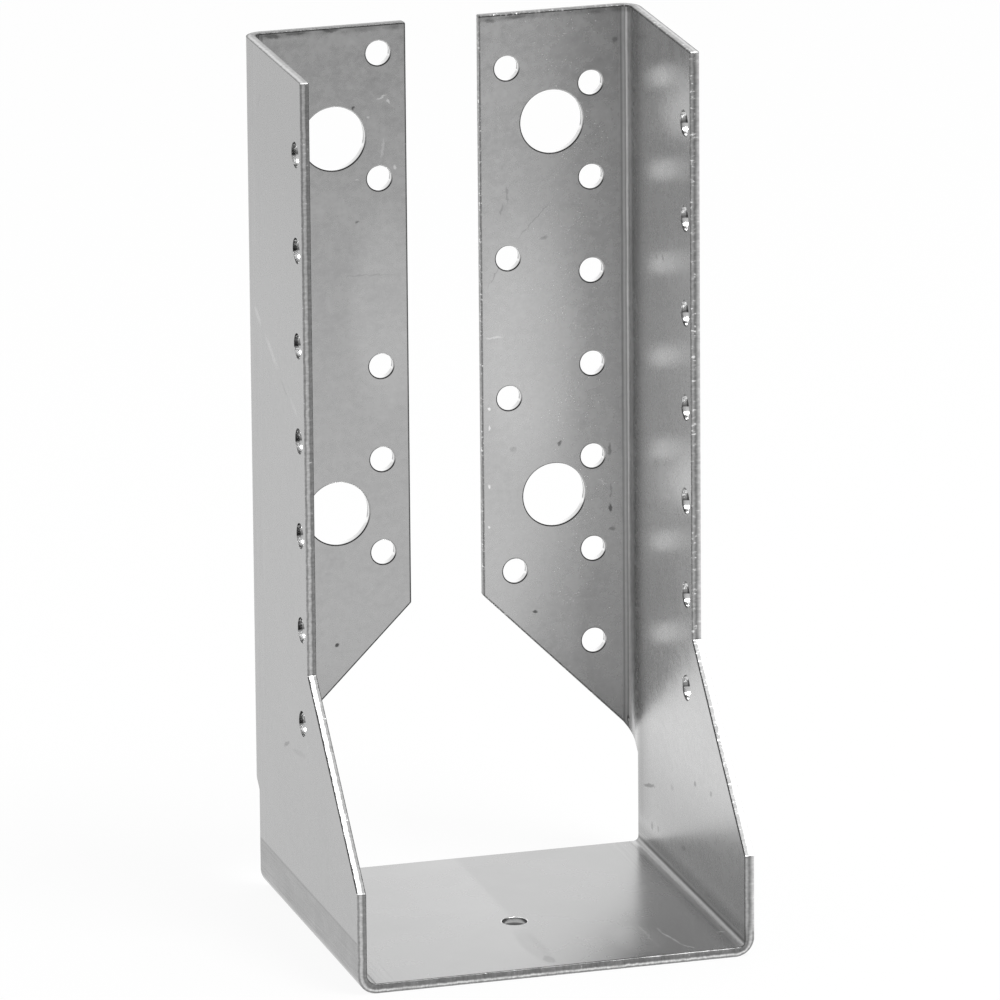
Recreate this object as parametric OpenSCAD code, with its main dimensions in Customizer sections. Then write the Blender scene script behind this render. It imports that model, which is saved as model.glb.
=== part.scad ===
// Face-fixed joist hanger with inward header flanges, folded from one galvanised steel sheet.
// Millimetres, +Z up. The header (main beam) is at +Y and the joist comes in from -Y.
// The origin is on the underside, in the middle of the hanger's width and depth.

/* [Joist] */
// Clear width between the side plates, for the joist
joist_w = 80; // [70:1:140]
// Height of the side plates above the seat
side_h = 179.5; // [165:0.5:240]

/* [Sheet] */
// Thickness of the steel sheet
sheet_t = 2; // [1.5:0.1:3]
// Inside radius of every bend
bend_r = 2; // [1:0.1:3]

/* [Seat and gussets] */
// Depth of the seat's front edge, measured from the header face
seat_d = 80; // [65:0.5:110]
// Depth of the side plates above their gussets, measured from the header face
side_d = 44.3; // [36:0.1:60]
// Height at which the gusset's slope leaves the upper front edge
gusset_top_z = 57.2; // [45:0.1:80]
// Height at which the slope meets the seat's front edge
gusset_foot_z = 21.2; // [10:0.1:40]
// Flat stretch of a side plate between its header bend and its rear edge beside the seat
seat_relief = 1.5; // [0.5:0.1:6]

/* [Header flanges] */
// Width of a flange, from the side plate's outer face to the flange's free edge
flange_w = 34.2; // [30:0.1:38]
// Height at which the slanted lower edge starts on the free edge
slant_z = 57.4; // [52:0.1:64]
// Angle of the slanted lower edge below the horizontal
slant_angle = 45; // [38:1:50]

/* [Nail holes] */
// Diameter of a nail hole
nail_d = 5.2; // [4:0.1:6.5]
// Vertical pitch of the nail rows
nail_pitch = 20; // [16:0.5:24]
// Height of the lowest row, in the flanges' outer columns and in the side plates
nail_z = 45.6; // [42:0.1:52]
// Distance of a flange's outer column from its free edge
outer_column = 23.9; // [22:0.1:27]
// Distance of a flange's inner column from its free edge
inner_column = 5.9; // [4.5:0.1:8]
// Distance of the side plates' nail holes from the upper front edge
side_nail_edge = 4.2; // [4:0.1:12]
// Distance of the seat's nail hole from the front edge
seat_nail_edge = 30.5; // [15:0.5:50]

/* [Left flange's inner column] */
// Drop of the top nail hole below the top edge
left_top_drop = 6.1; // [4.5:0.1:12]
// Rise of the other nail holes above the rows of the outer column
left_row_rise = 3.3; // [0:0.1:6]

/* [Right flange's inner column] */
// Drop of the top nail hole below the top edge
right_top_drop = 11.5; // [6:0.1:16]
// Rise of the upper middle nail hole above its row
right_row_rise = 4; // [0:0.1:6]
// Drop of the lower middle nail hole below its row
right_row_drop = 6; // [0:0.1:8]
// Rise of the lowest nail hole above the start of the slanted edge
right_low_rise = 4.8; // [4:0.1:10]
// Set-in of the lowest nail hole from its column, away from the free edge
right_low_set_in = 1; // [0:0.1:3]

/* [Bolt holes] */
// Diameter of a bolt hole
bolt_d = 13.4; // [9:0.1:14]
// Distance of the bolt holes from the flange's free edge
bolt_edge = 15.5; // [14:0.1:17]
// Drop of a bolt hole below its nail row
bolt_drop = 7.6; // [6.5:0.1:10]

/* [Hidden] */
$fn = 96;

bend_out = bend_r + sheet_t;
outer_x = joist_w / 2 + sheet_t;
bend_x = outer_x - bend_out;
free_x = outer_x - flange_w;
rear_y = seat_d / 2;
front_y = -seat_d / 2;
bend_y = rear_y - bend_out;
side_front_y = rear_y - side_d;
seat_rear_y = bend_y - seat_relief;
height = side_h + sheet_t;

// Share of the thickness, from the inside of a bend, at which the sheet keeps its length
neutral_share = 0.44;
bend_length = (bend_r + neutral_share * sheet_t) * PI / 2;

// The slanted edge is one straight cut in the flat sheet, so it goes on falling round the bend
slant = tan(slant_angle);
bend_start_z = slant_z - slant * (bend_x - free_x);
bend_end_z = bend_start_z - slant * bend_length;
relief_z = bend_end_z - slant * seat_relief;
trim_steps = 12;

// Two hole diameters are left above the top nail row
top_row_edge = 2 * nail_d;
rows = floor((height - top_row_edge - nail_z) / nail_pitch) + 1;
top_row = rows - 1;
cut_margin = 1;

function row_z(row) = nail_z + row * nail_pitch;

left_inner_z = [
    row_z(1) + left_row_rise,
    row_z(2) + left_row_rise,
    row_z(3) + left_row_rise,
    row_z(top_row - 1) + left_row_rise,
    height - left_top_drop
];
right_inner_z = [
    row_z(3) - right_row_drop,
    row_z(top_row - 2) + right_row_rise,
    height - right_top_drop
];
bolt_z = [row_z(2) - bolt_drop, row_z(top_row) - bolt_drop];

// Flat stretch of the right side plate with its gusset, drawn in the YZ plane
module side_plate() {
    outline = [
        [bend_y, height],
        [side_front_y, height],
        [side_front_y, gusset_top_z],
        [front_y, gusset_foot_z],
        [front_y, bend_out],
        [seat_rear_y, bend_out],
        [seat_rear_y, relief_z],
        [bend_y, bend_end_z]
    ];
    translate([outer_x - sheet_t, 0, 0])
        rotate([90, 0, 90])
            linear_extrude(sheet_t)
                polygon(outline);
}

// Flat stretch of the right header flange, drawn in the XZ plane
module flange() {
    outline = [
        [free_x, height],
        [free_x, slant_z],
        [bend_x, bend_start_z],
        [bend_x, height]
    ];
    translate([0, rear_y, 0])
        rotate([90, 0, 0])
            linear_extrude(sheet_t)
                polygon(outline);
}

// Wedge that trims the lower end of the header bend. Its top is a screw surface,
// level across the sheet and falling at a steady rate round the bend.
module bend_trim() {
    inner = bend_r / 2;
    outer = bend_out + cut_margin;
    bottom_z = bend_end_z - outer;
    angles = [for (i = [-1 : trim_steps + 1]) i * 90 / trim_steps];
    function top_z(a) = bend_end_z + (bend_start_z - bend_end_z) * a / 90;
    corners = [
        for (a = angles)
            for (c = [[inner, bottom_z], [outer, bottom_z], [outer, top_z(a)], [inner, top_z(a)]])
                [c[0] * cos(a), c[0] * sin(a), c[1]]
    ];
    last = 4 * (len(angles) - 1);
    walls = [
        for (i = [0 : 4 : last - 4])
            for (j = [0 : 3])
                let (k = (j + 1) % 4)
                    each [[i + j, i + 4 + k, i + k], [i + j, i + 4 + j, i + 4 + k]]
    ];
    ends = [[0, 1, 2], [0, 2, 3], [last, last + 2, last + 1], [last, last + 3, last + 2]];
    polyhedron(corners, concat(walls, ends));
}

// Upright bend between the right side plate and its flange
module header_bend() {
    translate([bend_x, bend_y, 0])
        difference() {
            translate([0, 0, bend_end_z])
                rotate_extrude(angle = 90)
                    translate([bend_r, 0])
                        square([sheet_t, height - bend_end_z]);
            bend_trim();
        }
}

// Lower bend between the seat and the right side plate
module seat_bend() {
    translate([bend_x, seat_rear_y, bend_out])
        rotate([90, 0, 0])
            rotate([0, 0, -90])
                rotate_extrude(angle = 90)
                    translate([bend_r, 0])
                        square([sheet_t, seat_rear_y - front_y]);
}

module seat() {
    translate([-bend_x, front_y, 0])
        cube([2 * bend_x, seat_rear_y - front_y, sheet_t]);
}

// Hole through a header flange, at a distance from its free edge and a height
module flange_hole(from_edge, z, diameter) {
    translate([free_x + from_edge, rear_y + cut_margin, z])
        rotate([90, 0, 0])
            cylinder(h = sheet_t + 2 * cut_margin, d = diameter);
}

// Holes that both halves have: the outer column, the two bolt holes and the side plate's column
module half_holes() {
    for (row = [0 : top_row]) {
        flange_hole(outer_column, row_z(row), nail_d);
        translate([outer_x - sheet_t - cut_margin, side_front_y + side_nail_edge, row_z(row)])
            rotate([0, 90, 0])
                cylinder(h = sheet_t + 2 * cut_margin, d = nail_d);
    }
    for (z = bolt_z)
        flange_hole(bolt_edge, z, bolt_d);
}

module half() {
    difference() {
        union() {
            seat_bend();
            side_plate();
            header_bend();
            flange();
        }
        half_holes();
    }
}

module right_half() {
    difference() {
        half();
        for (z = right_inner_z)
            flange_hole(inner_column, z, nail_d);
        flange_hole(inner_column + right_low_set_in, slant_z + right_low_rise, nail_d);
    }
}

module left_half() {
    mirror([1, 0, 0])
        difference() {
            half();
            for (z = left_inner_z)
                flange_hole(inner_column, z, nail_d);
        }
}

module seat_hole() {
    translate([0, front_y + seat_nail_edge, -cut_margin])
        cylinder(h = sheet_t + 2 * cut_margin, d = nail_d);
}

module hanger() {
    color("silver")
        union() {
            difference() {
                seat();
                seat_hole();
            }
            right_half();
            left_half();
        }
}

hanger();
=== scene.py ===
"""Looks of a joist hanger folded from one sheet of galvanised steel.

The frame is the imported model's own: +Z up, +Y towards the header, in metres. The sheet is
built again in millimetres with sheared edges, from the flat blank: a point of the blank has
a place along (front to flange's free edge), a place across (from the middle of the seat up
the right side plate, negative for the left one) and a depth (0 on the inner face).
"""

import math

import bpy
import numpy as np
from mathutils import Matrix, Vector
from mathutils.geometry import delaunay_2d_cdt


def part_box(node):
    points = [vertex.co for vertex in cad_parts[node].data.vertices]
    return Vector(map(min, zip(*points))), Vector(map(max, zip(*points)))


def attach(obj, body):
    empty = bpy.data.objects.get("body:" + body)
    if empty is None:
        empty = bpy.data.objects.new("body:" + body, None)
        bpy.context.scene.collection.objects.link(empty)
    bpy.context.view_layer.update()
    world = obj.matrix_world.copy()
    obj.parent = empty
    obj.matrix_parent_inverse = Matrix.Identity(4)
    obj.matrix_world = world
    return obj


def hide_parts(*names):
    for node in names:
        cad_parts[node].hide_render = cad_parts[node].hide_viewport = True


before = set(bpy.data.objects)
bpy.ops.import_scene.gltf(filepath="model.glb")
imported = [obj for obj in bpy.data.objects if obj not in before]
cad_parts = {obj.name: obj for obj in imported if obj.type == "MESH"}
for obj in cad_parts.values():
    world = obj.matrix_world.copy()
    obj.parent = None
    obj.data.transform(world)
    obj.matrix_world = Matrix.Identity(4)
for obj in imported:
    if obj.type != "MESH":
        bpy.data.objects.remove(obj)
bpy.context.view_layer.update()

MM = 0.001
node_low, node_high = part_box("hanger")

# Sizes of the hanger in millimetres
OUTER_X = node_high.x / MM
REAR_Y = node_high.y / MM
FRONT_Y = node_low.y / MM
HEIGHT = node_high.z / MM
SHEET = 2.0
BEND_INNER = 2.0
SIDE_DEPTH = 44.3
GUSSET_TOP_Z = 57.2
GUSSET_FOOT_Z = 21.2
SEAT_RELIEF = 1.5
FLANGE_WIDTH = 34.2
SLANT_Z = 57.4
NEUTRAL_SHARE = 0.44
# The photograph shows the crease on the right of the seat pressed tighter than its bend
TIGHT_RADIUS = 1.0

# Holes, in millimetres. The columns and BOLT_EDGE are distances from the flange's free edge.
NAIL_RADIUS = 2.6
BOLT_RADIUS = 6.7
ROW_Z = [45.6 + 20 * row for row in range(7)]
OUTER_COLUMN = 23.9
INNER_COLUMN = 5.9
LEFT_INNER_Z = [68.9, 88.9, 108.9, 148.9, 175.4]
RIGHT_INNER_Z = [99.6, 129.6, 170.0]
# The right flange's lowest inner hole: distance from the free edge, and height
RIGHT_LOW_HOLE = (6.9, 62.2)
SIDE_NAIL_EDGE = 4.2
BOLT_EDGE = 15.5
BOLT_Z = [78.0, 158.0]
SEAT_NAIL_EDGE = 30.5

BEND_X = OUTER_X - BEND_INNER - SHEET
BEND_Y = REAR_Y - BEND_INNER - SHEET
SIDE_FRONT_Y = REAR_Y - SIDE_DEPTH
SEAT_REAR_Y = BEND_Y - SEAT_RELIEF
BEND_LENGTH = (BEND_INNER + NEUTRAL_SHARE * SHEET) * math.pi / 2
FREE_EDGE = BEND_Y + BEND_LENGTH + BEND_X - (OUTER_X - FLANGE_WIDTH)
PLATE_START = BEND_X + BEND_LENGTH


def across(z):
    """Place across the blank of a height on a side plate or flange."""
    return PLATE_START + z - BEND_INNER - SHEET


def pressed_corner(dip):
    """Distance from the bend's centre, and the surface's angle, of a corner pressed to TIGHT_RADIUS."""
    offset = BEND_INNER - TIGHT_RADIUS
    low = np.minimum(dip, math.pi / 2 - dip)
    total = offset * (np.cos(dip) + np.sin(dip))
    arc = total + np.sqrt(np.maximum(total ** 2 - 2 * offset ** 2 + TIGHT_RADIUS ** 2, 0))
    on_arc = np.tan(low) > offset / BEND_INNER
    distance = np.where(on_arc, arc, BEND_INNER / np.cos(low))
    turned = np.arctan2(distance * np.sin(dip) - offset, distance * np.cos(dip) - offset)
    wall = np.where(dip < math.pi / 4, 0.0, math.pi / 2)
    return distance, np.where(on_arc, turned, wall)


def fold(blank, depth):
    """Points of the blank, and their three directions, in the folded hanger."""
    along, place = blank[:, 0], blank[:, 1]
    side = np.where(place < 0, -1.0, 1.0)
    reach = np.abs(place)
    radius = BEND_INNER + depth
    zero = np.zeros(len(blank))
    turn = np.clip((along - BEND_Y) / BEND_LENGTH, 0, 1) * math.pi / 2
    dip = np.clip((PLATE_START - reach) / BEND_LENGTH, 0, 1) * math.pi / 2
    pressed, pressed_dip = pressed_corner(dip)
    share = np.where((dip > 0) & (dip < math.pi / 2) & (place > 0), 1 - depth / SHEET, 0.0)
    radius = radius + share * (pressed - BEND_INNER)
    facing = dip + share * (pressed_dip - dip)
    past_bend = np.maximum(along - BEND_Y - BEND_LENGTH, 0)
    upright = turn > 0
    x = np.where(
        upright, BEND_X + radius * np.cos(turn) - past_bend,
        np.minimum(reach, BEND_X) + radius * np.cos(dip),
    )
    y = np.where(upright, BEND_Y + radius * np.sin(turn), along)
    above = np.maximum(reach - PLATE_START, 0)
    z = BEND_INNER + SHEET - radius * np.sin(dip) + above
    outward = np.where(
        upright[:, None],
        np.stack([np.cos(turn), np.sin(turn), zero], 1),
        np.stack([np.cos(facing), zero, -np.sin(facing)], 1),
    )
    ahead = np.stack([-np.sin(turn), np.cos(turn), zero], 1)
    rising = np.stack([np.sin(dip), zero, np.cos(dip)], 1)
    points = np.stack([x, y, z], 1)
    for directions in (points, outward, ahead, rising):
        directions[:, 0] *= side
    return points, outward, ahead, rising * side[:, None]


# Sheared edge, in millimetres. The cut came from the inner face, whose rim is rolled over. From
# BREAK_DEPTH on the sheet tore, with a taper, and the outer face's rim has the burr.
ROLL_WIDTH = 0.42
ROLL_DEPTH = 0.22
# Share of the outline's rolled rim that a hole has
HOLE_ROLL = 0.7
BREAK_DEPTH = 1.1
BREAK_TAPER = 0.07
# Half the length over which the straight cut turns into the taper
BREAK_BLEND = 0.1
BURR_RADIUS = 0.05
BURR_TURN = math.radians(50)
ROLL_STEPS = 4


def edge_profile(roll):
    """Rows of set-back from the edge, depth, and the two parts of the normal."""
    rows = []
    for step in range(ROLL_STEPS + 1):
        angle = step / ROLL_STEPS * math.pi / 2
        out, flat = ROLL_DEPTH * math.sin(angle), ROLL_WIDTH * math.cos(angle)
        size = math.hypot(out, flat)
        rows.append((
            roll * ROLL_WIDTH * (1 - math.sin(angle)), roll * ROLL_DEPTH * (1 - math.cos(angle)),
            out / size, -flat / size,
        ))
    lean = math.atan2(BREAK_TAPER, SHEET - BREAK_DEPTH)
    straight_end, taper_start = BREAK_DEPTH - BREAK_BLEND, BREAK_DEPTH + BREAK_BLEND
    for share, depth in ((0.0, straight_end), (1.0, taper_start), (1.0, SHEET - BURR_RADIUS)):
        set_back = max(depth - BREAK_DEPTH, 0) * math.tan(lean)
        rows.append((set_back, depth, math.cos(lean * share), math.sin(lean * share)))
    out, up = math.cos(BURR_TURN), math.sin(BURR_TURN)
    rows.append((BREAK_TAPER + BURR_RADIUS * (1 - out), SHEET - BURR_RADIUS * (1 - up), out, up))
    rows.append((BREAK_TAPER + BURR_RADIUS, SHEET, 0.0, 1.0))
    return rows


CORNER_RADIUS = 0.45
CORNER_STEPS = 6
# Distance between the mesh's points on the flats, and the strip along each edge that has none
SPACING = 1.6
CLEARANCE = 0.9
# Shortest stretch between two points of the outline, and shortest run that can cross the bends
SHORTEST = 0.2
CROSSING = 1.0
# Height under which a stretch counts as level, and distance within which points are one
TINY = 1e-9
MERGE_DISTANCE = 1e-6
BEND_STEPS = 14
NAIL_STEPS = 56
BOLT_STEPS = 104


def bend_lines():
    """Places of the mesh's lines along the upright bends and across the lower ones."""
    steps = np.linspace(0, BEND_LENGTH, BEND_STEPS + 1)
    upright = BEND_Y + steps
    low = BEND_X + steps
    return upright, np.concatenate([low, -low])


def outline_corners():
    """Corners of the blank, from the seat's front right round to its front left."""
    slant_end = SLANT_Z - (FREE_EDGE - SEAT_REAR_Y)
    half = [
        (FRONT_Y, across(GUSSET_FOOT_Z)), (SIDE_FRONT_Y, across(GUSSET_TOP_Z)),
        (SIDE_FRONT_Y, across(HEIGHT)), (FREE_EDGE, across(HEIGHT)),
        (FREE_EDGE, across(SLANT_Z)), (SEAT_REAR_Y, across(slant_end)),
    ]
    return half + [(along, -place) for along, place in reversed(half)]


def outline():
    """Points of the blank's outline, material on the right, with their directions into the sheet."""
    corners = [Vector(corner) for corner in outline_corners()]
    count = len(corners)
    arcs = []
    for i, corner in enumerate(corners):
        before = (corner - corners[i - 1]).normalized()
        after = (corners[(i + 1) % count] - corner).normalized()
        turn = before.angle_signed(after)
        reach = CORNER_RADIUS * math.tan(abs(turn) / 2)
        start_in = Vector((before.y, -before.x))
        bulge = 1 if turn > 0 else -1
        centre = corner - before * reach + start_in * CORNER_RADIUS * bulge
        arc = []
        for step in range(CORNER_STEPS + 1):
            angle = -turn * step / CORNER_STEPS
            inward = Vector((
                start_in.x * math.cos(angle) - start_in.y * math.sin(angle),
                start_in.x * math.sin(angle) + start_in.y * math.cos(angle),
            ))
            arc.append((centre - inward * CORNER_RADIUS * bulge, inward))
        arcs.append(arc)
    upright, low = bend_lines()
    points = []
    for i, arc in enumerate(arcs):
        points += arc
        start, inward = arc[-1]
        end = arcs[(i + 1) % count][0][0]
        length = (end - start).length
        shares = list(np.arange(1, int(length / SPACING)) * SPACING / length)
        for axis, lines in ((0, upright), (1, low)):
            run = end[axis] - start[axis]
            if abs(run) > CROSSING:
                shares += [(line - start[axis]) / run for line in lines]
        last = 0.0
        for share in sorted(shares):
            if share * length - last > SHORTEST and (1 - share) * length > SHORTEST:
                points.append((start.lerp(end, share), inward))
                last = share * length
    return np.array([p[:] for p, n in points]), np.array([n[:] for p, n in points])


def hole(along, place, radius):
    """Points round a hole, with their directions into the sheet."""
    steps = BOLT_STEPS if radius == BOLT_RADIUS else NAIL_STEPS
    angles = np.arange(steps) / steps * 2 * math.pi
    away = np.stack([np.cos(angles), np.sin(angles)], 1)
    return np.array([along, place]) + radius * away, away


def hole_places():
    """Each hole's place along and across the blank, and its radius."""
    places = [(FRONT_Y + SEAT_NAIL_EDGE, 0.0, NAIL_RADIUS)]
    for side in (1, -1):
        for z in ROW_Z:
            places.append((FREE_EDGE - OUTER_COLUMN, side * across(z), NAIL_RADIUS))
            places.append((SIDE_FRONT_Y + SIDE_NAIL_EDGE, side * across(z), NAIL_RADIUS))
        for z in BOLT_Z:
            places.append((FREE_EDGE - BOLT_EDGE, side * across(z), BOLT_RADIUS))
        for z in RIGHT_INNER_Z if side > 0 else LEFT_INNER_Z:
            places.append((FREE_EDGE - INNER_COLUMN, side * across(z), NAIL_RADIUS))
    places.append((FREE_EDGE - RIGHT_LOW_HOLE[0], across(RIGHT_LOW_HOLE[1]), NAIL_RADIUS))
    return places


def edge_distance(points, loop):
    """Distance of each point from a closed outline, and whether it's inside it."""
    start, end = loop, np.roll(loop, -1, 0)
    nearest = np.full(len(points), np.inf)
    inside = np.zeros(len(points), bool)
    for a, b in zip(start, end):
        run = b - a
        share = np.clip((points - a) @ run / (run @ run), 0, 1)
        gap = points - a - share[:, None] * run
        nearest = np.minimum(nearest, np.hypot(gap[:, 0], gap[:, 1]))
        crosses = (a[1] > points[:, 1]) != (b[1] > points[:, 1])
        if abs(run[1]) > TINY:
            inside ^= crosses & (points[:, 0] < a[0] + (points[:, 1] - a[1]) / run[1] * run[0])
    return nearest, inside


def spread(start, end):
    """Even places between start and end, without the two."""
    count = max(int(round(abs(end - start) / SPACING)), 1)
    return np.linspace(start, end, count + 1)[1:-1]


def blank_points(places):
    """Points inside the blank, on a grid that follows the bends."""
    upright, low = bend_lines()
    along = np.concatenate([
        spread(FRONT_Y, SIDE_FRONT_Y), [SIDE_FRONT_Y], spread(SIDE_FRONT_Y, BEND_Y), upright,
        spread(upright[-1], FREE_EDGE),
    ])
    place = np.concatenate([
        spread(-BEND_X, BEND_X), low, spread(PLATE_START, across(HEIGHT)),
        -spread(PLATE_START, across(HEIGHT)),
    ])
    grid = np.stack(np.meshgrid(along, place), -1).reshape(-1, 2)
    nearest, inside = edge_distance(grid, np.array(outline_corners()))
    keep = inside & (nearest > CLEARANCE)
    for centre_along, centre_place, radius in places:
        from_centre = np.hypot(grid[:, 0] - centre_along, grid[:, 1] - centre_place)
        keep &= from_centre > radius + CLEARANCE
    return grid[keep]


def edge_loops(places):
    """Points of the outline and of each hole, their directions into the sheet, and each loop's ids."""
    loops = [outline()] + [hole(*place) for place in places]
    rims, first = [], 0
    for points, inward in loops:
        rims.append(np.arange(first, first + len(points)))
        first += len(points)
    edge_points = np.concatenate([points for points, inward in loops])
    edge_inward = np.concatenate([inward for points, inward in loops])
    return edge_points, edge_inward, rims


def blank_triangles(flat, rims):
    """Triangles between the points of the blank, inside its outline and outside its holes."""
    rim_edges = [(int(a), int(b)) for rim in rims for a, b in zip(rim, np.roll(rim, -1))]
    found = delaunay_2d_cdt([Vector(p) for p in flat], rim_edges, [], 0, MERGE_DISTANCE)
    origin = [ids[0] for ids in found[3]]
    triangles = np.array([[origin[v] for v in face] for face in found[2]])
    kept = edge_distance(flat[triangles].mean(1), flat[rims[0]])[1]
    for rim in rims[1:]:
        kept &= ~((triangles >= rim[0]) & (triangles <= rim[-1])).all(1)
    return triangles[kept]


def sheet_faces(flat, rims, rows, edge_count, inner_count):
    """Faces of the two skins, and of the walls between the profile's rows."""
    triangles = blank_triangles(flat, rims)
    inner_skin = np.where(triangles < edge_count, triangles, triangles + (rows - 1) * edge_count)
    outer_skin = triangles + (rows - 1) * edge_count
    outer_skin = np.where(triangles < edge_count, outer_skin, outer_skin + inner_count)
    corners = flat[triangles]
    area = np.cross(corners[:, 1] - corners[:, 0], corners[:, 2] - corners[:, 0])
    turned = area < 0
    inner_skin[~turned] = inner_skin[~turned][:, ::-1]
    outer_skin[turned] = outer_skin[turned][:, ::-1]
    faces = inner_skin.tolist() + outer_skin.tolist()
    for rim in rims:
        following = np.roll(rim, -1)
        for row in range(rows - 1):
            a, b = rim + row * edge_count, following + row * edge_count
            faces += np.stack([a, a + edge_count, b + edge_count, b], 1).tolist()
    return faces


def sheet_mesh():
    """The folded sheet: two skins, and rows of points through the thickness at each edge."""
    places = hole_places()
    edge_points, edge_inward, rims = edge_loops(places)
    inner_points = blank_points(places)
    is_hole = np.arange(len(edge_points)) >= len(rims[0])
    profile = [
        [np.where(is_hole, at_hole, at_outline) for at_outline, at_hole in zip(*rows)]
        for rows in zip(edge_profile(1.0), edge_profile(HOLE_ROLL))
    ]
    rows, edge_count, inner_count = len(profile), len(edge_points), len(inner_points)

    # The profile's rows, and then the inner points of both skins
    blanks, depths, outs, ups = [], [], [], []
    for set_back, depth, out, up in profile:
        blanks.append(edge_points + edge_inward * set_back[:, None])
        depths.append(depth)
        outs.append(out)
        ups.append(up)
    for depth, up in ((0.0, -1.0), (SHEET, 1.0)):
        blanks.append(inner_points)
        depths.append(np.full(inner_count, depth))
        outs.append(np.zeros(inner_count))
        ups.append(np.full(inner_count, up))
    blank = np.concatenate(blanks)
    depth = np.concatenate(depths)
    out = np.concatenate(outs)
    up = np.concatenate(ups)
    inward = np.concatenate([edge_inward] * rows + [np.zeros((inner_count, 2))] * 2)
    points, outward, ahead, rising = fold(blank, depth)
    into = inward[:, :1] * ahead + inward[:, 1:] * rising
    normals = outward * up[:, None] - into * out[:, None]
    normals /= np.linalg.norm(normals, axis=1)[:, None]

    flat = np.concatenate([blanks[0], inner_points])
    faces = sheet_faces(flat, rims, rows, edge_count, inner_count)
    mesh = bpy.data.meshes.new("folded_sheet")
    mesh.from_pydata((points * MM).tolist(), [], faces)
    mesh.polygons.foreach_set("use_smooth", np.ones(len(faces), bool))
    mesh.normals_split_custom_set_from_vertices(normals.tolist())
    on_edge = np.zeros(len(points))
    on_edge[edge_count:(rows - 1) * edge_count] = 1
    on_hole = np.zeros(len(points))
    on_hole[edge_count:(rows - 1) * edge_count] = np.tile(is_hole, rows - 2)
    add_values(mesh, "blank_place", np.column_stack([blank, depth]))
    add_values(mesh, "cut_face", on_edge)
    add_values(mesh, "hole_wall", on_hole)
    return mesh


def add_values(mesh, name, values):
    """Puts a number or a vector on each point of the mesh."""
    kind = "FLOAT_VECTOR" if values.ndim == 2 else "FLOAT"
    layer = mesh.attributes.new(name, kind, "POINT")
    field = "vector" if values.ndim == 2 else "value"
    layer.data.foreach_set(field, values.astype(np.float32).ravel())


# Camera, as fitted to the photograph
CAMERA_AIM = Vector((0.29, -0.46, 89.53)) * MM
CAMERA_DISTANCE = 2456.6 * MM
CAMERA_LEFT = math.radians(16.276)
CAMERA_UP = math.radians(16.279)
CAMERA_ROLL = math.radians(-0.486)
CAMERA_LENS = 433.46
CAMERA_SENSOR = 36.0
# Nearest and furthest distance that the camera sees, in metres
CAMERA_CLIP = (0.1, 50.0)


def make_camera():
    back = Vector((
        -math.sin(CAMERA_LEFT) * math.cos(CAMERA_UP),
        -math.cos(CAMERA_LEFT) * math.cos(CAMERA_UP),
        math.sin(CAMERA_UP),
    ))
    level_right = Vector((math.cos(CAMERA_LEFT), -math.sin(CAMERA_LEFT), 0))
    right = Matrix.Rotation(CAMERA_ROLL, 3, back) @ level_right
    up = back.cross(right)
    data = bpy.data.cameras.new("camera")
    data.lens = CAMERA_LENS
    data.sensor_width = CAMERA_SENSOR
    data.clip_start, data.clip_end = CAMERA_CLIP
    camera = bpy.data.objects.new("camera", data)
    camera.matrix_world = (
        Matrix.Translation(CAMERA_AIM + back * CAMERA_DISTANCE)
        @ Matrix((right, up, back)).transposed().to_4x4()
    )
    bpy.context.scene.collection.objects.link(camera)
    bpy.context.scene.camera = camera


class Nodes:
    """Short calls for making shader nodes. A value is a number or another node's output."""

    def __init__(self, tree):
        self.tree = tree
        tree.nodes.clear()

    def add(self, kind, inputs=(), **settings):
        node = self.tree.nodes.new(kind)
        for name, value in settings.items():
            setattr(node, name, value)
        for socket, value in dict(inputs).items():
            if isinstance(value, bpy.types.NodeSocket):
                self.tree.links.new(value, node.inputs[socket])
            else:
                node.inputs[socket].default_value = value
        return node

    def math(self, operation, *values):
        return self.add("ShaderNodeMath", dict(enumerate(values)), operation=operation).outputs[0]

    def vector(self, operation, *values):
        node = self.add("ShaderNodeVectorMath", dict(enumerate(values)), operation=operation)
        return node.outputs["Value" if operation in ("LENGTH", "DOT_PRODUCT") else "Vector"]

    def plus(self, *values):
        total = values[0]
        for value in values[1:]:
            total = self.math("ADD", total, value)
        return total

    def times(self, *values):
        total = values[0]
        for value in values[1:]:
            total = self.math("MULTIPLY", total, value)
        return total

    def blend(self, share, low, high):
        """low where share is 0, high where it's 1."""
        return self.plus(low, self.times(share, self.math("SUBTRACT", high, low)))

    def step(self, value, start, end, low=0.0, high=1.0):
        ranges = {"From Min": start, "From Max": end, "To Min": low, "To Max": high}
        node = self.add("ShaderNodeMapRange", {"Value": value, **ranges})
        node.interpolation_type = "SMOOTHSTEP"
        return node.outputs["Result"]

    def band(self, value, start, end, soft):
        """1 between start and end, falling to 0 over the width soft at both."""
        rise = self.step(value, start - soft / 2, start + soft / 2)
        fall = self.step(value, end - soft / 2, end + soft / 2, 1.0, 0.0)
        return self.times(rise, fall)

    def noise(self, coordinates, scale, detail=2.0, roughness=0.5, stretch=None):
        """Noise from about -0.5 to 0.5."""
        if stretch:
            coordinates = self.vector("MULTIPLY", coordinates, stretch)
        values = {"Vector": coordinates, "Scale": scale, "Detail": detail, "Roughness": roughness}
        return self.plus(self.add("ShaderNodeTexNoise", values).outputs["Fac"], -0.5)

    def curve(self, value, points):
        """A number that follows straight lines between points (value, number)."""
        node = self.add("ShaderNodeValToRGB", {0: value})
        ramp = node.color_ramp
        while len(ramp.elements) < len(points):
            ramp.elements.new(1.0)
        for element, (place, level) in zip(ramp.elements, points):
            element.position = place
            element.color = (level, level, level, 1)
        return node.outputs["Color"]


WHITE = (1.0, 1.0, 1.0, 1.0)
FLOOR_COLOUR = (0.9, 0.9, 0.9, 1.0)
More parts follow.
